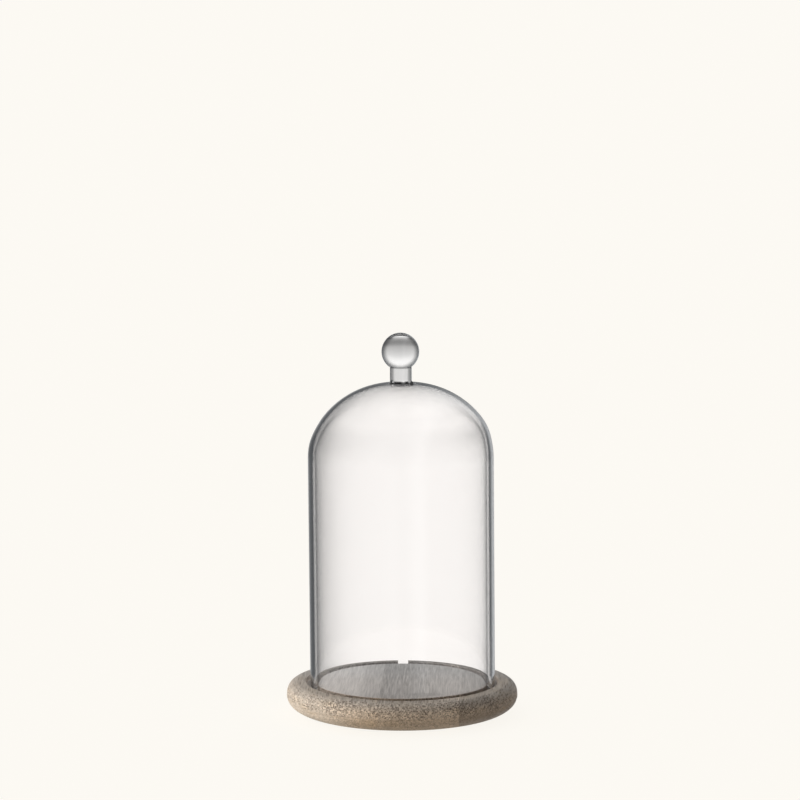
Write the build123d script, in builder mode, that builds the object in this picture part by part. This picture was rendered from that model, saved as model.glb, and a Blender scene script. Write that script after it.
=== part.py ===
from build123d import *
from math import cos, radians, sin
import os

# A glass bell jar with a ball knob, standing in a turned groove of a round wooden base.
# Millimetres, +Z up. The origin is the centre of the plane that the foot pads rest on.
# The lead notch is at the back, on +Y, and the boards of the base run from front to back.

# Base: three boards glued edge to edge, then turned on a lathe.
base_radius = 90.0
base_thickness = 24.0
pad_thickness = 1.5
equator_height = 12.3  # of the rim's widest line, above the underside of the wood
rim_side_radius = 32.0  # the upright part of the rim above its widest line
rim_side_angle = 7.5
lower_run = 21.6  # how far the rounding under the rim reaches inwards
lower_setback = 0.3  # the lower rounding meets the upper one in a fine step
groove_inner_radius = 64.8
groove_outer_radius = 74.9
groove_depth = 4.0
groove_lip_chamfer = 0.4
groove_corner_radius = 1.0

# Glue joints between the boards, and the way the boards lie.
left_joint_x = -15.6
right_joint_x = 46.0
grain_angle = 2.0  # the boards are turned this far from front-to-back

# Notch that lets a thin lead pass under the glass.
notch_width = 8.3
notch_depth = 9.0
notch_centre_x = 0.8

# Foot pads, stuck under the boards.
pad_radius = 6.0
pad_circle_radius = 60.0
pad_angle = 30.0

# Glass bell: a cylinder, a round shoulder and a flatter crown.
glass_radius = 72.0
glass_wall = 3.5
shoulder_height = 200.4  # of the top of the straight wall, above the underside of the wood
shoulder_radius = 51.5
shoulder_angle = 40.0
crown_radius = 69.1
crown_thinning = 1.5  # the blown glass is this much thinner on top than at the wall
foot_round = 1.6  # the fire-polished edge that stands in the groove

# Knob: a ball fused on a short solid stem.
ball_radius = 14.6
ball_centre_height = 283.1  # above the underside of the wood
stem_radius = 8.45
weld_flare = 1.0
knob_offset_x = -1.4  # the knob was welded on by hand, slightly to the left of the middle

base_bottom = pad_thickness
base_top = base_bottom + base_thickness
equator_z = base_bottom + equator_height
groove_floor_z = base_top - groove_depth
shoulder_z = base_bottom + shoulder_height
ball_centre_z = base_bottom + ball_centre_height
stem_top_z = ball_centre_z - (ball_radius**2 - stem_radius**2) ** 0.5

os.makedirs("parts", exist_ok=True)

# ---------------------------------------------------------------------------
# Base: the whole turned disc first, then the three boards that it is made of
# ---------------------------------------------------------------------------

side_rise = rim_side_radius * sin(radians(rim_side_angle))
rim_corner_radius = (base_thickness - equator_height - side_rise) / (1 - sin(radians(rim_side_angle)))

with BuildPart() as turned_base:
    with BuildSketch(Plane.XZ):
        with BuildLine():
            underside = Line((0, base_bottom), (base_radius - lower_run, base_bottom))
            lower_rounding = EllipticalCenterArc(
                (base_radius - lower_run, equator_z),
                lower_run - lower_setback,
                equator_height,
                start_angle=270,
                arc_size=90,
            )
            step = Line((base_radius - lower_setback, equator_z), (base_radius, equator_z))
            rim_side = JernArc(step @ 1, (0, 1), rim_side_radius, rim_side_angle)
            rim_corner = JernArc(rim_side @ 1, rim_side % 1, rim_corner_radius, 90 - rim_side_angle)
            Polyline(
                rim_corner @ 1,
                (groove_outer_radius, base_top),
                (groove_outer_radius, groove_floor_z),
                (groove_inner_radius, groove_floor_z),
                (groove_inner_radius, base_top),
                (0, base_top),
                (0, base_bottom),
            )
        make_face()
        at_groove = vertices().filter_by_position(Axis.X, groove_inner_radius, groove_outer_radius)
        lips = at_groove.filter_by_position(Axis.Y, base_top, base_top)
        chamfer(lips, groove_lip_chamfer)
        at_groove = vertices().filter_by_position(Axis.X, groove_inner_radius, groove_outer_radius)
        corners = at_groove.filter_by_position(Axis.Y, groove_floor_z, groove_floor_z)
        fillet(corners, groove_corner_radius)
    revolve(axis=Axis.Z)
    # The notch starts just outside the disc that the glass stands around, and runs out at the back.
    with BuildSketch(Plane.XY.offset(base_top)):
        with Locations((notch_centre_x, groove_inner_radius + groove_corner_radius)):
            Rectangle(notch_width, base_radius, align=(Align.CENTER, Align.MIN))
    extrude(amount=-notch_depth, mode=Mode.SUBTRACT)


def glue_plane(joint_x):
    """The plane of a glue joint that crosses the middle of the base at joint_x, facing right."""
    turn = radians(grain_angle)
    return Plane(origin=(joint_x, 0, 0), z_dir=(cos(turn), -sin(turn), 0))


# Each board lies between the glue joints on its left and its right.
boards = {
    "base_stave_left": (None, left_joint_x),
    "base_stave_centre": (left_joint_x, right_joint_x),
    "base_stave_right": (right_joint_x, None),
}

for name, (left_edge, right_edge) in boards.items():
    with BuildPart() as stave:
        add(turned_base.part)
        if left_edge is not None:
            split(bisect_by=glue_plane(left_edge), keep=Keep.TOP)
        if right_edge is not None:
            split(bisect_by=glue_plane(right_edge), keep=Keep.BOTTOM)
    stave.part.label = name
    export_step(stave.part, f"parts/{name}.step")

# ---------------------------------------------------------------------------
# Foot pads: thin felt discs, one near each quarter of the underside
# ---------------------------------------------------------------------------

for row, side_y in (("front", -1), ("rear", 1)):
    for side, side_x in (("left", -1), ("right", 1)):
        pad_x = side_x * pad_circle_radius * cos(radians(pad_angle))
        pad_y = side_y * pad_circle_radius * sin(radians(pad_angle))
        with BuildPart() as foot_pad:
            with BuildSketch(Plane.XY):
                with Locations((pad_x, pad_y)):
                    Circle(pad_radius)
            extrude(amount=pad_thickness)
        foot_pad.part.label = f"foot_pad_{row}_{side}"
        export_step(foot_pad.part, f"parts/foot_pad_{row}_{side}.step")

# ---------------------------------------------------------------------------
# Glass bell
# ---------------------------------------------------------------------------


def bell_body(inset, rise=0.0):
    """The solid that the bell's outer surface would fill, shrunk by inset on every side but the foot.

    The shoulder and the crown are then moved up by rise.
    """
    radius = glass_radius - inset
    with BuildPart() as body:
        with BuildSketch(Plane.XZ):
            with BuildLine():
                side = Line((radius, groove_floor_z), (radius, shoulder_z + rise))
                shoulder = JernArc(side @ 1, side % 1, shoulder_radius - inset, shoulder_angle)
                crown = JernArc(shoulder @ 1, shoulder % 1, crown_radius - inset, 90 - shoulder_angle)
                Polyline(crown @ 1, (0, (crown @ 1).Y), (0, groove_floor_z), side @ 0)
            make_face()
        revolve(axis=Axis.Z)
    return body.part


outer_body = bell_body(0)
inner_body = bell_body(glass_wall, crown_thinning)
crown_z = outer_body.bounding_box().max.Z

with BuildPart() as dome_shell:
    add(outer_body)
    add(inner_body, mode=Mode.SUBTRACT)
    fillet(dome_shell.edges().group_by(Axis.Z)[0], foot_round)
dome_shell.part.label = "dome_shell"
export_step(dome_shell.part, "parts/dome_shell.step")

# ---------------------------------------------------------------------------
# Knob: the stem stands on the crown, in a small weld, and the ball sits flat on the stem
# ---------------------------------------------------------------------------

weld_root = 0.2  # the stem starts this far inside the crown and is then cut to its surface
knob_axis = Axis((knob_offset_x, 0, 0), (0, 0, 1))

with BuildPart() as knob_stem:
    with BuildSketch(Plane.XZ.move(Location((knob_offset_x, 0, 0)))):
        with BuildLine():
            Polyline(
                (0, crown_z - weld_root),
                (stem_radius + weld_flare, crown_z - weld_root),
                (stem_radius + weld_flare, crown_z),
                (stem_radius, crown_z + weld_flare),
                (stem_radius, stem_top_z),
                (0, stem_top_z),
                close=True,
            )
        make_face()
    revolve(axis=knob_axis)
    add(outer_body, mode=Mode.SUBTRACT)
knob_stem.part.label = "knob_stem"
export_step(knob_stem.part, "parts/knob_stem.step")

with BuildPart(Plane((knob_offset_x, 0, ball_centre_z))) as knob_ball:
    Sphere(ball_radius)
    split(bisect_by=Plane.XY.offset(stem_top_z), keep=Keep.TOP)
knob_ball.part.label = "knob_ball"
export_step(knob_ball.part, "parts/knob_ball.step")
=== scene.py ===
from math import acos, cos, degrees, exp, pi, radians, sin

import bmesh
import bpy
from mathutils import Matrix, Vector


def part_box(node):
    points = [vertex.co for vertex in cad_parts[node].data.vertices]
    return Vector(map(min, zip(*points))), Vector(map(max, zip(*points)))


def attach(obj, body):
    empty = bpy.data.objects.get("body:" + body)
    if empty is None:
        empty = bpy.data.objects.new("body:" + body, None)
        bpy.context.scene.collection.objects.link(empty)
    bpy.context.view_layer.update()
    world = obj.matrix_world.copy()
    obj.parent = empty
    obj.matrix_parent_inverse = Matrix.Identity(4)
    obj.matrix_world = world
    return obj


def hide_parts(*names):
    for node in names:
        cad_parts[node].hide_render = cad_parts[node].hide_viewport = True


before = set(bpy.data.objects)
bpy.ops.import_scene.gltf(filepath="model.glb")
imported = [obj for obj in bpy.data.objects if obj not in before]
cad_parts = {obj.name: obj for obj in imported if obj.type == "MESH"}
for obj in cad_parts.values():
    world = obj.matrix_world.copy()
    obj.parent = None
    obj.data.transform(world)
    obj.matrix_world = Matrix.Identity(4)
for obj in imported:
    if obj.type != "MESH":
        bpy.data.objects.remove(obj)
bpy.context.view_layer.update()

MM = 0.001

# ---------------------------------------------------------------------------
# Sizes in metres, from the frame where it has them
# ---------------------------------------------------------------------------

base_low = Vector(map(min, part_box("base_stave_left")[0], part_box("base_stave_centre")[0]))
base_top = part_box("base_stave_centre")[1].z
base_bottom = base_low.z
base_radius = -base_low.x

shell_low, shell_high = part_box("dome_shell")
glass_radius = shell_high.x
glass_foot = shell_low.z
crown_z = shell_high.z
glass_wall = 3.5 * MM
crown_thinning = 1.5 * MM  # how much thinner the blown glass is on top
foot_round = 1.6 * MM
wall_top = base_bottom + 200.4 * MM
shoulder_radius = 51.5 * MM
crown_radius = 69.1 * MM
shoulder_angle = radians(40)

# The bell was blown by hand, so it leans: its foot to the right and the top of its wall to the left.
foot_lean = 0.45 * MM
wall_lean_run = 1.55 * MM
crown_lean = 0.1 * MM

ball_low, ball_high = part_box("knob_ball")
ball_radius = (ball_high.x - ball_low.x) / 2
ball_x = (ball_high.x + ball_low.x) / 2
ball_z = ball_high.z - ball_radius
stem_low, stem_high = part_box("knob_stem")
stem_radius = 8.45 * MM
stem_x = (stem_high.x + stem_low.x) / 2 + 0.35 * MM  # fused a little to the right of the ball
weld = 1.0 * MM  # the rounding at the foot of the stem
crease = 0.4 * MM  # the fine line where the ball was fused on the stem
ball_end = 2.4 - degrees(acos(stem_radius / ball_radius))  # the ball stops just before it meets the stem
seam_z = ball_z + ball_radius * sin(radians(ball_end))

groove_inner = 64.8 * MM
groove_outer = 74.9 * MM
groove_floor = glass_foot
lip_round = 0.4 * MM
groove_corner = 1.0 * MM
equator_z = base_bottom + 12.3 * MM
rim_side_radius = 32 * MM
rim_side_angle = radians(7.5)
lower_run = 21.6 * MM
lower_setback = 0.3 * MM

left_joint_x = -15.6 * MM
right_joint_x = 46.0 * MM
grain_angle = radians(2)

notch_width = 8.3 * MM
notch_depth = 9.0 * MM
notch_centre_x = 0.8 * MM

# ---------------------------------------------------------------------------
# Looks
# ---------------------------------------------------------------------------

# Colours, linear
BACKGROUND = (0.973, 0.948, 0.896)
PALE_WOOD = (0.56, 0.477, 0.393)
CENTRE_WOOD = (0.53, 0.41, 0.30)
RIGHT_WOOD = (0.40, 0.31, 0.23)
WASHED_RIM = (0.43, 0.378, 0.325)
FLOOR_WOOD = (0.71, 0.665, 0.632)
PORE_BROWN = (0.13, 0.10, 0.08)
# Painted shade, near black, for the edges of the glass
EDGE_SHADE = (0.0, 0.004, 0.008)

# How light the flat top of each board is: (x in mm, level)
LEFT_BANDS = [(-90, 1.0), (-36, 1.0), (-26, 0.85), (90, 0.84)]
CENTRE_BANDS = [(-90, 0.66), (2, 0.66), (20, 0.78), (34, 0.84), (90, 0.80)]
RIGHT_BANDS = [(-90, 0.76), (46, 0.77), (90, 0.72)]

# Where each board lay in its tree, so that no two share a pattern
LEFT_SHIFT = (0.055, 0.3, 0.09)
CENTRE_SHIFT = (-0.012, 0.1, 0.12)
RIGHT_SHIFT = (-0.16, 0.7, 0.05)

# Wood grain
PORE_SPACING = 1.1 * MM
THREAD_SPACING = 0.6 * MM
FLOOR_LINE_SPACING = 1.3 * MM
RING_SPACING = 3.1 * MM
GRAIN_WANDER = 2.5 * MM
TUBE_SQUEEZE = 0.055  # along the grain, so that a pore is 1 / 0.055 times as long as it is wide

# How clear the glass is left where a ray meets it, from 0, face on, to 1, along the surface: a level below
# 1 is painted shade, which darkens the glass's edges
BELL_EDGE = [
    (0, 1), (0.44, 1), (0.47, 0.98), (0.50, 0.92), (0.53, 0.84), (0.55, 0.72), (0.57, 0.55),
    (0.587, 0.40), (0.606, 0.24), (0.625, 0.40), (0.647, 1), (1, 1),
]
BALL_EDGE = [
    (0, 0.8), (0.24, 0.8), (0.317, 0.64), (0.379, 0.40), (0.453, 0.22), (0.545, 0.10), (0.67, 0.04),
    (1, 0.02),
]
STEM_EDGE = [(0, 1.0), (0.17, 0.92), (0.25, 0.5), (0.344, 0.22), (0.465, 0.15), (0.66, 0.08), (1, 0.05)]

GLASS_IOR = 1.5
BALL_IOR = 1.42  # puts the bright crescent where the photo has it
# Too little to see, but a ray that leaves the knob can be told from one that leaves the bell's wall
KNOB_ROUGHNESS = 0.02

# What the knob shows, against elevation: 0 is straight down and 1 is straight up. KNOB_LIGHT scales it.
BALL_VIEW = [
    (0, 0.40), (0.16, 0.55), (0.193, 0.85), (0.228, 0.83), (0.256, 0.47), (0.279, 0.31), (0.299, 0.20),
    (0.316, 0.15), (0.346, 0.12), (0.372, 0.14), (0.406, 0.22), (0.457, 0.29), (0.498, 0.35),
    (0.545, 0.44), (0.589, 0.48), (0.65, 0.45), (1, 0.45),
]
KNOB_LIGHT = 2.6

# Light and camera
FLOOR_GLOW = 0.93
KEY_POWER = 36.0
KEY_PLACE = Vector((-1.8, -0.16, 0.92))
KEY_SIZE = 0.9
CAMERA_DISTANCE = 3.7
CAMERA_ELEVATION = radians(12.45)
CAMERA_PITCH = radians(8.693)  # less than the elevation, so that the base stands low in the picture
CAMERA_X = -1.68 * MM
CAMERA_LENS = 212.67


# ---------------------------------------------------------------------------
# Node trees, written as expressions
# ---------------------------------------------------------------------------


class Graph:
    """A node tree. Most methods add a node and return its output socket."""

    def __init__(self, tree):
        self.tree = tree
        tree.nodes.clear()

    def node(self, kind, inputs=None, output=0, **settings):
        made = self.tree.nodes.new(kind)
        for name, value in settings.items():
            setattr(made, name, value)
        for name, value in (inputs or {}).items():
            self.put(made.inputs[name], value)
        return made.outputs[output] if made.outputs else None

    def put(self, socket, value):
        if isinstance(value, bpy.types.NodeSocket):
            self.tree.links.new(value, socket)
        elif socket.type == "RGBA" and len(value) == 3:
            socket.default_value = (*value, 1)
        else:
            socket.default_value = value

    def math(self, operation, *values):
        return self.node("ShaderNodeMath", dict(enumerate(values)), operation=operation)

    def times(self, first, *others):
        for other in others:
            first = self.math("MULTIPLY", first, other)
        return first

    def plus(self, first, *others):
        for other in others:
            first = self.math("ADD", first, other)
        return first

    def below(self, value, bound):
        return self.math("LESS_THAN", value, bound)

    def above(self, value, bound):
        return self.math("GREATER_THAN", value, bound)

    def size(self, value):
        return self.math("ABSOLUTE", value)

    def join(self, x, y, z):
        return self.node("ShaderNodeCombineXYZ", {0: x, 1: y, 2: z})

    def split(self, vector):
        return self.node("ShaderNodeSeparateXYZ", {0: vector}).node.outputs[:3]

    def length(self, x, y, z):
        inputs = {0: self.join(x, y, z)}
        return self.node("ShaderNodeVectorMath", inputs, operation="LENGTH", output="Value")

    def remap(self, value, low, high, to_low=0.0, to_high=1.0, smooth=False):
        inputs = {"Value": value, "From Min": low, "From Max": high, "To Min": to_low, "To Max": to_high}
        kind = "SMOOTHSTEP" if smooth else "LINEAR"
        return self.node("ShaderNodeMapRange", inputs, interpolation_type=kind)

    def mix(self, factor, a, b, blend="MIX"):
        made = self.node("ShaderNodeMix", data_type="RGBA", blend_type=blend, output=2).node
        for index, value in ((0, factor), (6, a), (7, b)):
            self.put(made.inputs[index], value)
        return made.outputs[2]

    def tint(self, colour, by):
        """A colour multiplied by another colour or by a level."""
        return self.mix(1.0, colour, by, "MULTIPLY")

    def curve(self, value, points):
        """A smooth curve through (input, output) points, with inputs and outputs from 0 to 1."""
        made = self.node("ShaderNodeFloatCurve", {"Value": value}).node
        line = made.mapping.curves[0]
        for index, point in enumerate(points):
            if index < len(line.points):
                line.points[index].location = point
            else:
                line.points.new(*point)
        made.mapping.update()
        return made.outputs[0]

    def noise(self, vector, scale, detail=2.0, roughness=0.5, distortion=0.0):
        inputs = {"Vector": vector, "Scale": scale, "Detail": detail, "Roughness": roughness}
        inputs["Distortion"] = distortion
        return self.node("ShaderNodeTexNoise", inputs)

    def normal(self):
        return self.split(self.node("ShaderNodeNewGeometry", output="Normal"))

    def place(self):
        return self.node("ShaderNodeTexCoord", output="Object")

    def bump(self, height, strength, distance):
        return self.node("ShaderNodeBump", {"Strength": strength, "Distance": distance, "Height": height})

    def surface(self, **inputs):
        """Ends a material with one Principled surface. Underscores in the names stand for spaces."""
        inputs = {name.replace("_", " "): value for name, value in inputs.items()}
        bsdf = self.node("ShaderNodeBsdfPrincipled", inputs)
        self.node("ShaderNodeOutputMaterial", {"Surface": bsdf})


def new_material(name):
    made = bpy.data.materials.new(name)
    made.use_nodes = True
    return made, Graph(made.node_tree)


# ---------------------------------------------------------------------------
# Glass
# ---------------------------------------------------------------------------


def clear_ball_foot(g, level, facing, slope):
    """The painted shade is taken off the ball's underside where a ray meets it nearly face on."""
    clear = g.remap(slope, -0.78, -0.84, smooth=True)
    return g.math("MAXIMUM", level, g.times(clear, g.remap(facing, 0.44, 0.52, 1.0, 0.0)))


def shaded_shoulder(g, level, facing, slope):
    """The crown is left clear on top, and its shoulder gets a soft belt of painted shade, deepest towards
    the sides.
    """
    level = g.math("MAXIMUM", level, g.remap(slope, 0.35, 0.95, smooth=True))
    belt = g.times(
        g.remap(slope, -0.04, 0.42, smooth=True),
        g.remap(slope, 0.42, 0.70, 1.0, 0.0, smooth=True),
        g.remap(facing, 0.05, 0.45, 0.07, 0.42),
    )
    return g.times(level, g.math("SUBTRACT", 1.0, belt))


def glass_material(name, edge_points=None, change=None, ior=GLASS_IOR, roughness=0.0):
    """Clear glass. With edge_points its colour is darkened by painted shade where a ray enters it along its
    surface.

    change, one of the two functions above, adjusts that by the slope of the surface.
    """
    made, g = new_material(name)
    colour = (1, 1, 1)
    if edge_points:
        facing = g.node("ShaderNodeLayerWeight", {"Blend": 0.5}, output="Facing")
        level = g.curve(facing, edge_points)
        if change:
            level = change(g, level, facing, g.normal()[2])
        # Painted shade: the glass's colour goes towards near black where the level falls
        colour = g.mix(level, EDGE_SHADE, (1, 1, 1))
    # Blown glass is never quite even.
    stretched = g.node("ShaderNodeVectorMath", {0: g.place(), 1: (1, 1, 0.25)}, operation="MULTIPLY")
    bump = g.bump(g.noise(stretched, 45, 1), 0.15, 0.4 * MM)
    g.surface(Base_Color=colour, Roughness=roughness, IOR=ior, Transmission_Weight=1.0, Normal=bump)
    return made


# ---------------------------------------------------------------------------
# Wood, felt and floor
# ---------------------------------------------------------------------------


def wood_grain(g, x, y, z):
    """The grain at a place in the tree, whose trunk lies along Y.

    Gives the pores, the cells that they lie in, the threads, the growth rings and the patches.
    """
    # Slow wandering, so that no line is quite straight
    slow = g.join(g.times(x, 0.6), g.times(y, 0.25), z)
    wander = g.times(g.math("SUBTRACT", g.noise(slow, 22, 1), 0.5), GRAIN_WANDER)
    tube = g.join(g.plus(x, wander), g.times(y, TUBE_SQUEEZE), z)

    # Pores are long thin tubes along the grain, in cells of slightly different colour.
    cells = {"Vector": tube, "Scale": 1 / PORE_SPACING, "Randomness": 0.6}
    pores = g.node("ShaderNodeTexVoronoi", cells).node.outputs
    cell = g.split(pores["Color"])[0]
    pore = g.times(g.below(cell, 0.85), g.remap(pores["Distance"], 0.2, 0.42, 1.0, 0.0))
    thread = g.noise(tube, 1 / THREAD_SPACING, 2, 0.6)

    # Growth rings are arcs round the heart of the tree, well away from this board.
    from_heart = g.length(x, 0, g.plus(z, g.times(wander, 0.5)))
    ring = g.remap(g.math("FRACT", g.times(from_heart, 1 / RING_SPACING)), 0.0, 0.35, 1.0, 0.0, smooth=True)

    patches = g.remap(g.noise(tube, 130, 2), 0.38, 0.62, 0.7, 1.0)
    return pore, cell, thread, ring, patches


def rim_colour(g, wood, at_x, up):
    """The rim's wash: greyer on its upper side and paler towards the left, then lighter or darker by slope
    and place, with painted bounce light and shade under the rim.
    """
    washed = tuple(c * (0.35 + 0.65 * wood[0] / CENTRE_WOOD[0]) for c in WASHED_RIM)
    pale = g.remap(at_x, -22 * MM, -75 * MM, smooth=True)
    body = g.mix(g.remap(up, -0.1, 0.95), g.mix(pale, wood, PALE_WOOD), washed)

    # Painted shade under the rim at the right and painted bounce light under it at the left; on its widest
    # line, darker at the left and lighter at the right
    under = g.times(g.remap(up, -0.2, -0.7), g.remap(at_x, -50 * MM, -10 * MM, 0.15, -0.16))
    widest = g.times(
        g.remap(g.size(up), 0.0, 0.4, 1.0, 0.0), g.remap(at_x, -70 * MM, -10 * MM, -0.10, 0.13)
    )
    # The middle board pales towards the right glue joint, and the upper rim is darkest in the middle.
    pale_end = g.times(
        g.below(at_x, right_joint_x * cos(grain_angle)), g.remap(at_x, 12 * MM, right_joint_x, 0.0, 0.14)
    )
    upper = g.times(g.remap(up, 0.1, 0.6), g.remap(g.size(at_x), 10 * MM, 45 * MM, -0.15, 0.0))
    return g.tint(body, g.plus(under, widest, pale_end, 1.0, upper))


def in_groove(g, side, at_z):
    """1 on the walls and floor of the groove, and 0 elsewhere on top of the base."""
    between = g.times(
        g.above(side, groove_inner - lip_round * 0.3), g.below(side, groove_outer + lip_round * 0.3)
    )
    return g.times(between, g.remap(at_z, base_top - 0.6 * MM, base_top - 0.1 * MM, 1.0, 0.0))


def groove_shade(g, at_x, at_y):
    """Painted shade in the groove, a little blue, against bare wood: darkest at the front and at the back
    right, and lightest, as painted light, at the back left, where the lamp reaches in.
    """
    behind = g.remap(at_y, -40 * MM, 10 * MM, smooth=True)
    level = g.mix(behind, (0.55, 0.55, 0.55), g.remap(at_x, -60 * MM, 0, 1.25, 0.60))
    return g.tint((0.97, 1.0, 1.06), level)


def floor_smudge(g, at_x, at_y):
    """A faint dark smudge on the floor, near its front."""
    away = g.length(g.times(g.math("SUBTRACT", at_x, 19 * MM), 0.55), g.plus(at_y, 46 * MM), 0)
    return g.remap(away, 4 * MM, 9 * MM, 0.22, 0.0, smooth=True)


def wood_material(name, wood, bands, shift):
    """One board of washed ash. The grain runs along Y, so end grain shows at the front and the back."""
    made, g = new_material(name)
    rotation = {"Vector": g.place(), "Angle": grain_angle}
    turned = g.node("ShaderNodeVectorRotate", rotation, rotation_type="Z_AXIS")
    at_x, at_y, at_z = g.split(turned)
    x, y, z = g.split(g.node("ShaderNodeVectorMath", {0: turned, 1: shift}, operation="ADD"))
    pore, cell, thread, ring, patches = wood_grain(g, x, y, z)
    facing_y, up = g.normal()[1:]
    side = g.length(at_x, at_y, 0)
    floor = g.times(g.remap(up, 0.85, 0.99, smooth=True), g.below(side, groove_inner))
    across = [((at * MM + base_radius) / (2 * base_radius), level) for at, level in bands]
    band = g.curve(g.remap(at_x, -base_radius, base_radius), across)

    # The grain shows most where it ends, on the upper half of the rim, and least on the sanded floor.
    floor_contrast = g.remap(band, 0.66, 0.9, 0.62, 0.34)
    end_grain = g.times(
        g.remap(g.size(facing_y), 0.1, 0.75, 0.75, 1.9),
        g.remap(at_y, 0, 60 * MM, 1.0, 0.6),
        g.remap(g.size(at_x), 10 * MM, 55 * MM, 1.35, 1.0),
    )
    upper_half = g.remap(at_z, 12.5 * MM, 18 * MM, 0.42, 1.0, smooth=True)
    contrast = g.times(upper_half, patches, g.mix(floor, end_grain, floor_contrast))
    contrast = g.math("MINIMUM", contrast, 1.8)

    body = rim_colour(g, wood, at_x, up)
    body = g.mix(g.times(ring, 0.16), body, g.tint(body, (0.62, 0.50, 0.40)))
    blotch = g.noise(g.join(g.times(x, 0.5), g.times(y, 0.5), g.times(z, 2.5)), 70, 2)
    body = g.mix(g.remap(blotch, 0.5, 0.7, 0.0, 0.5), body, g.tint(body, (1.06, 0.99, 0.86)))
    towards_front = g.remap(at_y, -55 * MM, -25 * MM, 0.9, 1.0, smooth=True)
    body = g.mix(floor, body, g.tint(FLOOR_WOOD, g.times(band, towards_front)))
    # The wash is greyer towards the back.
    grey = g.node("ShaderNodeHueSaturation", {"Saturation": 0.45, "Color": body})
    body = g.mix(g.remap(at_y, -20 * MM, 50 * MM, smooth=True), body, grey)
    # Painted shade in the groove, with painted light at its back left
    body = g.mix(in_groove(g, side, at_z), body, g.tint(body, groove_shade(g, at_x, at_y)))
    body = g.mix(g.times(floor, floor_smudge(g, at_x, at_y)), body, (0.12, 0.105, 0.09))
    streak = g.noise(g.join(x, g.times(y, 0.06), z), 170, 3, 0.55)
    body = g.tint(body, g.remap(streak, 0.3, 0.7, 0.95, 1.04))

    # Light and dark threads, which are fine straight lines on the floor, and then the dark pores
    threads = g.plus(g.remap(thread, 0.3, 0.7, -0.5, 0.5), g.remap(cell, 0, 1, -0.4, 0.4))
    floor_line = g.noise(g.join(x, g.times(y, 0.05), 0), 1 / FLOOR_LINE_SPACING, 1)
    threads = g.mix(floor, threads, g.remap(floor_line, 0.3, 0.7, -0.8, 0.8))
    body = g.tint(body, g.math("MULTIPLY_ADD", g.times(threads, contrast), 0.55, 1.0))
    depth = g.times(pore, contrast)
    dark = g.times(depth, g.remap(floor, 0, 1, 0.88, 0.25))
    body = g.mix(dark, body, PORE_BROWN)

    bump = g.bump(g.math("MULTIPLY_ADD", thread, 0.35, g.times(depth, -1.0)), 0.3, 0.2 * MM)
    roughness = g.remap(dark, 0, 0.75, 0.52, 0.8)
    g.surface(Base_Color=body, Roughness=roughness, Normal=bump, Specular_IOR_Level=0.25)
    return made


def felt_material():
    made, g = new_material("brown_felt")
    fibre = g.noise(g.place(), 2200, 4, 0.7, 1.5)
    colour = g.mix(g.remap(fibre, 0.3, 0.7), (0.05, 0.04, 0.032), (0.12, 0.10, 0.085))
    g.surface(Base_Color=colour, Roughness=0.95, Normal=g.bump(fibre, 0.8, 0.2 * MM), Sheen_Weight=0.4)
    return made


def floor_material():
    """Mostly its own glow, in the background's colour, so that the floor has no horizon."""
    made, g = new_material("pale_floor")
    g.surface(
        Base_Color=tuple(0.2 * c for c in BACKGROUND),
        Roughness=1.0,
        Specular_IOR_Level=0.0,
        Emission_Color=BACKGROUND,
        Emission_Strength=FLOOR_GLOW,
    )
    return made


# ---------------------------------------------------------------------------
# Lathe work
# ---------------------------------------------------------------------------


def line(start, end, steps):
    """Points from start to end, without the end."""
    return [tuple(a + (b - a) * i / steps for a, b in zip(start, end)) for i in range(steps)]


def arc(centre, radius, start, end, steps):
    """Points on an arc in the (radius, height) plane, without its end. Angles are degrees from outwards."""
    made = []
    for i in range(steps):
        a = radians(start + (end - start) * i / steps)
        made.append((centre[0] + radius * cos(a), centre[1] + radius * sin(a)))
    return made


def lathe(bm, profile, segments, place):
    """Turns (radius, height) points round Z. The first and the last lie on the axis.

    place(angle, r, z) gives each point.
    """
    rings = []
    for r, z in profile:
        if r < 1e-7:
            rings.append([bm.verts.new(place(0, 0, z))])
        else:
            rings.append([bm.verts.new(place(2 * pi * k / segments, r, z)) for k in range(segments)])
    for upper, lower in zip(rings, rings[1:]):
        for k in range(segments):
            n = (k + 1) % segments
            corners = [ring[i % len(ring)] for ring, i in ((upper, k), (lower, k), (lower, n), (upper, n))]
            bm.faces.new(list(dict.fromkeys(corners)))  # three corners where a ring is a single point


def plain_place(angle, r, z):
    return (r * cos(angle), r * sin(angle), z)


def finish_mesh(bm, name, material, sharp=radians(35)):
    bmesh.ops.recalc_face_normals(bm, faces=bm.faces)
    mesh = bpy.data.meshes.new(name)
    bm.to_mesh(mesh)
    bm.free()
    mesh.shade_smooth()
    mesh.set_sharp_from_angle(angle=sharp)
    mesh.materials.append(material)
    made = bpy.data.objects.new(name, mesh)
    bpy.context.scene.collection.objects.link(made)
    return made


# ---------------------------------------------------------------------------
# Glass bell with its knob, one fused piece
# ---------------------------------------------------------------------------


def ball_outline():
    return [(0, ball_z + ball_radius)] + arc((0, ball_z), ball_radius, 90, ball_end, 72)[1:]


def stem_outline():
    """From the seam under the ball, past the crease, down to the weld on the crown."""
    neck_z = crown_z + 3 * weld
    points = [(ball_radius * cos(radians(ball_end)), seam_z)]
    points += [(stem_radius - crease, seam_z - crease / 2), (stem_radius, seam_z - 2 * crease)]
    points += line((stem_radius, seam_z - 3 * crease), (stem_radius, neck_z), 8)
    points += line((stem_radius, neck_z), (stem_radius, crown_z + weld), 12)
    return points + arc((stem_radius + weld, crown_z + weld), weld, 180, 270, 8)


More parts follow.
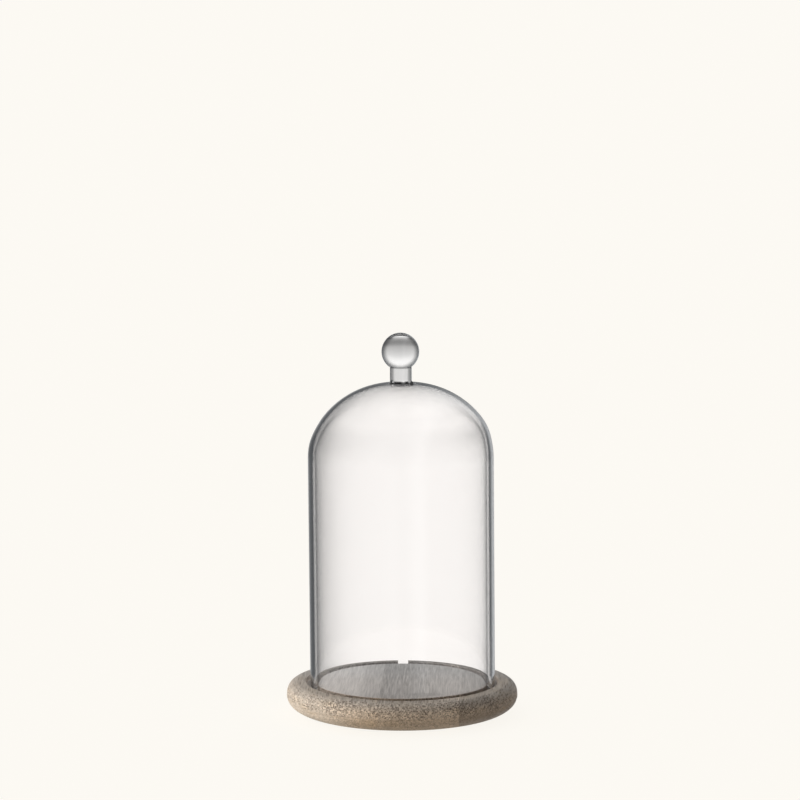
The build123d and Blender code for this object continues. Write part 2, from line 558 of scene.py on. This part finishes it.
def bell_outline(inset, rise=0.0):
    """From the middle of the crown down to the foot, shrunk by inset, with the top moved up by rise."""
    top = wall_top + rise
    shoulder_x = glass_radius - shoulder_radius
    crown_x = shoulder_x + (shoulder_radius - crown_radius) * cos(shoulder_angle)
    crown_centre = top + (shoulder_radius - crown_radius) * sin(shoulder_angle)
    bend = degrees(shoulder_angle)
    points = arc((crown_x, crown_centre), crown_radius - inset, 90, bend, 60)
    points += arc((shoulder_x, top), shoulder_radius - inset, bend, 0, 40)
    points += line((glass_radius - inset, top), (glass_radius - inset, glass_foot + foot_round), 16)
    return points


def foot_outline():
    """The fire-polished foot, from the outside to the inside."""
    outer = glass_radius - foot_round
    inner = glass_radius - glass_wall + foot_round
    points = arc((outer, glass_foot + foot_round), foot_round, 0, -90, 8)
    points += line((outer, glass_foot), (inner, glass_foot), 1)
    return points + arc((inner, glass_foot + foot_round), foot_round, -90, -180, 8)


def lean(z):
    """How far hand-made glass stands off the axis at this height."""
    if z > seam_z - crease / 4:
        return ball_x
    if z > crown_z + 0.1 * MM:
        return stem_x
    up_wall = (min(z, wall_top) - glass_foot) / (wall_top - glass_foot)
    wall = foot_lean - wall_lean_run * up_wall
    t = min(max((z - wall_top - 7 * MM) / (21 * MM), 0), 1)
    return wall + (crown_lean - wall) * t * t * (3 - 2 * t)


def bulge(angle, r, z):
    """The weld round the foot of the stem is uneven, with one small bead of glass at the right."""
    if z <= crown_z - 0.3 * MM or not stem_radius - 0.1 * MM < r < stem_radius + 1.5 * weld:
        return 0
    near = exp(-(((z - crown_z - 0.9 * MM) / (0.9 * MM)) ** 2))
    ripple = 0.10 * sin(3 * angle + 0.6) + 0.12 * sin(7 * angle + 2.0) + 0.08 * sin(11 * angle)
    away = (angle + 0.15 + pi) % (2 * pi) - pi
    bead = 1.25 * exp(-((away / 0.13) ** 2))
    return (max(ripple, -0.2) + bead) * near * MM


def bell_place(angle, r, z):
    r += bulge(angle, r, z)
    return (lean(z) + r * cos(angle), r * sin(angle), z)


def glass_bell():
    segments = 256
    ball = ball_outline()
    stem = stem_outline()
    bell = [point for point in bell_outline(0) if point[0] > stem_radius + weld]
    foot = foot_outline()
    inner = bell_outline(glass_wall, crown_thinning)[::-1] + [(0, crown_z - glass_wall + crown_thinning)]
    bm = bmesh.new()
    lathe(bm, ball + stem + bell + foot + inner, segments, bell_place)

    ball_glass = glass_material("ball_glass", BALL_EDGE, clear_ball_foot, BALL_IOR, KNOB_ROUGHNESS)
    stem_glass = glass_material("stem_glass", STEM_EDGE, roughness=KNOB_ROUGHNESS)
    bell_glass = glass_material("bell_glass", BELL_EDGE, shaded_shoulder)
    made = finish_mesh(bm, "glass_bell", ball_glass, radians(50))
    for material in (stem_glass, bell_glass, glass_material("inner_glass")):
        made.data.materials.append(material)
    stem_start = len(ball)
    bell_start = stem_start + len(stem)
    inner_start = bell_start + len(bell) + len(foot) // 2
    for face in made.data.polygons:
        ring = face.index // segments
        face.material_index = (ring >= stem_start) + (ring >= bell_start) + (ring >= inner_start)
    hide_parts("dome_shell", "knob_stem", "knob_ball")
    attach(made, "dome")
    made.visible_shadow = False
    made.visible_diffuse = False


# ---------------------------------------------------------------------------
# Base
# ---------------------------------------------------------------------------


def base_outline():
    """The turned base, from the middle of its top, through the groove and round the rim, to underneath."""
    near_axis = 3 * MM
    disc = groove_inner - lip_round
    lip = base_top - lip_round
    floor_in = groove_inner + groove_corner
    floor_out = groove_outer - groove_corner
    corner = groove_floor + groove_corner
    points = [(0, base_top)]
    points += line((near_axis, base_top), (disc, base_top), 20)
    points += arc((disc, lip), lip_round, 90, 0, 5)
    points += line((groove_inner, lip), (groove_inner, corner), 3)
    points += arc((floor_in, corner), groove_corner, 180, 270, 5)
    points += line((floor_in, groove_floor), (floor_out, groove_floor), 6)
    points += arc((floor_out, corner), groove_corner, 270, 360, 5)
    points += line((groove_outer, corner), (groove_outer, lip), 3)
    points += arc((groove_outer + lip_round, lip), lip_round, 180, 90, 5)

    side_angle = degrees(rim_side_angle)
    side_rise = rim_side_radius * sin(rim_side_angle)
    side_centre = base_radius - rim_side_radius
    rim_radius = (base_top - equator_z - side_rise) / (1 - sin(rim_side_angle))
    rim_x = side_centre + (rim_side_radius - rim_radius) * cos(rim_side_angle)
    points += line((groove_outer + lip_round, base_top), (rim_x, base_top), 8)
    points += arc((rim_x, base_top - rim_radius), rim_radius, 90, side_angle, 20)
    points += arc((side_centre, equator_z), rim_side_radius, side_angle, 0, 8)
    points += line((base_radius, equator_z), (base_radius - lower_setback, equator_z), 1)

    under_x = base_radius - lower_run
    reach = lower_run - lower_setback
    height = equator_z - base_bottom
    rounding = arc((0, 0), 1, 0, 90, 24)
    points += [(under_x + reach * out, equator_z - height * down) for out, down in rounding]
    points += line((under_x, base_bottom), (near_axis, base_bottom), 20)
    points.append((0, base_bottom))
    return points


def cut(bm, joint_x, side):
    """Cuts bm at a glue joint, keeps the part on that side (-1 left, 1 right) and closes the cut."""
    normal = Vector((cos(grain_angle), -sin(grain_angle), 0)) * -side
    geometry = bm.verts[:] + bm.edges[:] + bm.faces[:]
    made = bmesh.ops.bisect_plane(
        bm, geom=geometry, dist=1e-7, plane_co=(joint_x, 0, 0), plane_no=normal, clear_outer=True
    )
    edges = [e for e in made["geom_cut"] if isinstance(e, bmesh.types.BMEdge)]
    bmesh.ops.contextual_create(bm, geom=edges)


def stave(name, left_x, right_x, colour, bands, shift):
    """One board of the base, between its glue joints: None where the board reaches the rim."""
    bm = bmesh.new()
    lathe(bm, base_outline(), 720, plain_place)
    if left_x is not None:
        cut(bm, left_x, 1)
    if right_x is not None:
        cut(bm, right_x, -1)
    wood = wood_material(name + "_wood", colour, bands, shift)
    made = finish_mesh(bm, name.replace("base_stave", "board"), wood)
    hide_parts(name)
    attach(made, "base")
    return made


def carve_notch(board):
    """Cuts the lead notch at the back with a box."""
    bm = bmesh.new()
    bmesh.ops.create_cube(bm, size=1.0)
    low = Vector((notch_centre_x - notch_width / 2, groove_inner + groove_corner, base_top - notch_depth))
    high = Vector((notch_centre_x + notch_width / 2, base_radius * 1.2, base_top + notch_depth))
    for v in bm.verts:
        v.co = Vector([low[i] if v.co[i] < 0 else high[i] for i in range(3)])
    mesh = bpy.data.meshes.new("notch_cutter")
    bm.to_mesh(mesh)
    bm.free()
    cutter = bpy.data.objects.new("notch_cutter", mesh)
    bpy.context.scene.collection.objects.link(cutter)
    change = board.modifiers.new("notch", "BOOLEAN")
    change.operation = "DIFFERENCE"
    change.solver = "EXACT"
    change.object = cutter
    bpy.context.view_layer.update()
    evaluated = board.evaluated_get(bpy.context.evaluated_depsgraph_get())
    carved = bpy.data.meshes.new_from_object(evaluated)
    board.modifiers.clear()
    board.data = carved
    bpy.data.objects.remove(cutter)


def foot_pads():
    """Felt discs with a soft edge, where the CAD has them."""
    felt = felt_material()
    edge = 0.3 * MM
    for name in sorted(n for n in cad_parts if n.startswith("foot_pad")):
        low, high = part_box(name)
        centre = (low + high) / 2
        radius = (high.x - low.x) / 2
        flat = radius - edge
        profile = [(0, high.z)]
        profile += line((radius * 0.2, high.z), (flat, high.z), 8)
        profile += arc((flat, high.z - edge), edge, 90, 0, 4)
        profile += arc((flat, low.z + edge), edge, 0, -90, 4)
        profile += line((flat, low.z), (radius * 0.2, low.z), 8)
        profile.append((0, low.z))
        bm = bmesh.new()
        lathe(bm, profile, 64, lambda a, r, z: (centre.x + r * cos(a), centre.y + r * sin(a), z))
        made = finish_mesh(bm, name + "_felt", felt)
        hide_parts(name)
        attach(made, "base")


# ---------------------------------------------------------------------------
# Stage, light and camera
# ---------------------------------------------------------------------------


def make_floor():
    bpy.ops.mesh.primitive_plane_add(size=60)
    floor = bpy.context.object
    floor.name = "floor"
    floor.data.materials.append(floor_material())
    floor.visible_diffuse = False
    floor.visible_glossy = False
    floor.visible_transmission = False


def knob_view(g, side, up):
    """What shows through the knob. The ball turns its view upside down, so its top shows what is low."""
    elevation = g.times(g.math("ARCSINE", up), 180 / pi)
    view = g.times(g.curve(g.remap(elevation, -90, 90), BALL_VIEW), KNOB_LIGHT)
    to_sides = g.remap(g.size(side), 0.22, 0.45, 1.0, 0.3, smooth=True)
    view = g.mix(g.remap(elevation, -40, -34, 1.0, 0.0), view, g.times(view, to_sides))
    return g.tint(view, (1.0, 0.99, 0.975))


def clear_view(g, side, back, depth):
    """What shows through the bell's wall: the background, with a soft darker strip at the left behind."""
    left_end = g.remap(side, -0.6, -0.17, smooth=True)
    right_end = g.remap(side, -0.155, -0.01, 1.0, 0.0, smooth=True)
    shade = g.remap(g.times(left_end, right_end, g.above(back, 0.0)), 0, 1, 0.99, 0.60)
    # A view through four surfaces is lifted, to make up for what they reflect. One through two isn't.
    shade = g.times(shade, g.remap(depth, 2, 4, 0.90, 1.0))
    return g.tint(shade, (1.10, 1.062, 1.032))


def mirror_view(g, side, up):
    """What the outside of the glass reflects: a bright wall at the right, a faint one low at the left."""
    right = g.times(g.remap(side, 0.05, 0.36, 0.28, 1.12), g.remap(side, 0.42, 0.56, 1.0, 0.35))
    left = g.times(g.remap(side, -0.42, -0.18, 0.0, 0.28), g.remap(side, -0.12, 0.0, 1.0, 0.0))
    both = g.math("MULTIPLY_ADD", left, g.remap(up, 0.0, 0.1, 1.0, 0.0), right)
    return g.tint(both, (0.98, 1.0, 1.02))


def soft_light(g, side, up):
    """What lights the wood: an even sky, and the floor, which throws back most where the lamp is."""
    bounce = g.tint(g.remap(side, -0.85, -0.2, 1.7, 0.24), (1.0, 0.96, 0.88))
    return g.mix(g.remap(up, -0.15, 0.0, 1.0, 0.0), (0.36, 0.36, 0.36), bounce)


def make_world():
    """The studio round the object. What a ray sees depends on the way it took through the glass."""
    world = bpy.data.worlds.new("studio")
    bpy.context.scene.world = world
    world.use_nodes = True
    world.cycles.sampling_method = "NONE"
    g = Graph(world.node_tree)
    side, back, up = g.split(g.node("ShaderNodeTexCoord", output="Generated"))
    path = g.node("ShaderNodeLightPath").node.outputs
    # The world counts one step more than the number of glass surfaces that the ray has met.
    depth = g.math("SUBTRACT", path["Ray Depth"], 1.0)

    # After two surfaces a ray came through the knob, or through the bell's wall and its open foot.
    through_wall = g.math("MAXIMUM", g.above(depth, 2.5), path["Is Singular Ray"])
    colour = g.mix(through_wall, knob_view(g, side, up), clear_view(g, side, back, depth))
    # After an odd number it was reflected: outside if the number is one, and else within the glass.
    reflected = g.mix(g.above(depth, 1.5), mirror_view(g, side, up), (0.038, 0.042, 0.046))
    colour = g.mix(g.above(g.math("MODULO", depth, 2.0), 0.5), colour, reflected)
    colour = g.mix(path["Is Diffuse Ray"], colour, soft_light(g, side, up))
    colour = g.mix(path["Is Camera Ray"], colour, BACKGROUND)
    background = g.node("ShaderNodeBackground", {"Color": colour, "Strength": 1.0})
    g.node("ShaderNodeOutputWorld", {"Surface": background})


def make_key(lit):
    """One large soft lamp, low on the left. It lights only the pieces in lit."""
    only = bpy.data.collections.new("lit_by_key")
    for piece in lit:
        only.objects.link(piece)
    data = bpy.data.lights.new("key", "AREA")
    data.shape = "DISK"
    data.size = KEY_SIZE
    data.energy = KEY_POWER
    data.color = (1.0, 0.985, 0.96)
    lamp = bpy.data.objects.new("key", data)
    bpy.context.scene.collection.objects.link(lamp)
    lamp.location = KEY_PLACE
    aim = Vector((0, 0, 0.02)) - KEY_PLACE
    lamp.rotation_euler = aim.to_track_quat("-Z", "Y").to_euler()
    lamp.light_linking.receiver_collection = only
    lamp.visible_glossy = False
    lamp.visible_transmission = False


def make_camera():
    data = bpy.data.cameras.new("camera")
    data.sensor_width = 36
    data.lens = CAMERA_LENS
    data.clip_start = 0.1
    data.clip_end = 100
    camera = bpy.data.objects.new("camera", data)
    bpy.context.scene.collection.objects.link(camera)
    away = -CAMERA_DISTANCE * cos(CAMERA_ELEVATION)
    camera.location = (CAMERA_X, away, base_bottom + CAMERA_DISTANCE * sin(CAMERA_ELEVATION))
    camera.rotation_euler = (pi / 2 - CAMERA_PITCH, 0, 0)
    bpy.context.scene.camera = camera


glass_bell()
boards = [
    stave("base_stave_left", None, left_joint_x, CENTRE_WOOD, LEFT_BANDS, LEFT_SHIFT),
    stave("base_stave_centre", left_joint_x, right_joint_x, CENTRE_WOOD, CENTRE_BANDS, CENTRE_SHIFT),
    stave("base_stave_right", right_joint_x, None, RIGHT_WOOD, RIGHT_BANDS, RIGHT_SHIFT),
]
carve_notch(boards[1])
foot_pads()
make_floor()
make_world()
make_key(boards)
make_camera()

scene = bpy.context.scene
scene.view_settings.view_transform = "Standard"
scene.cycles.caustics_reflective = False
scene.cycles.caustics_refractive = False
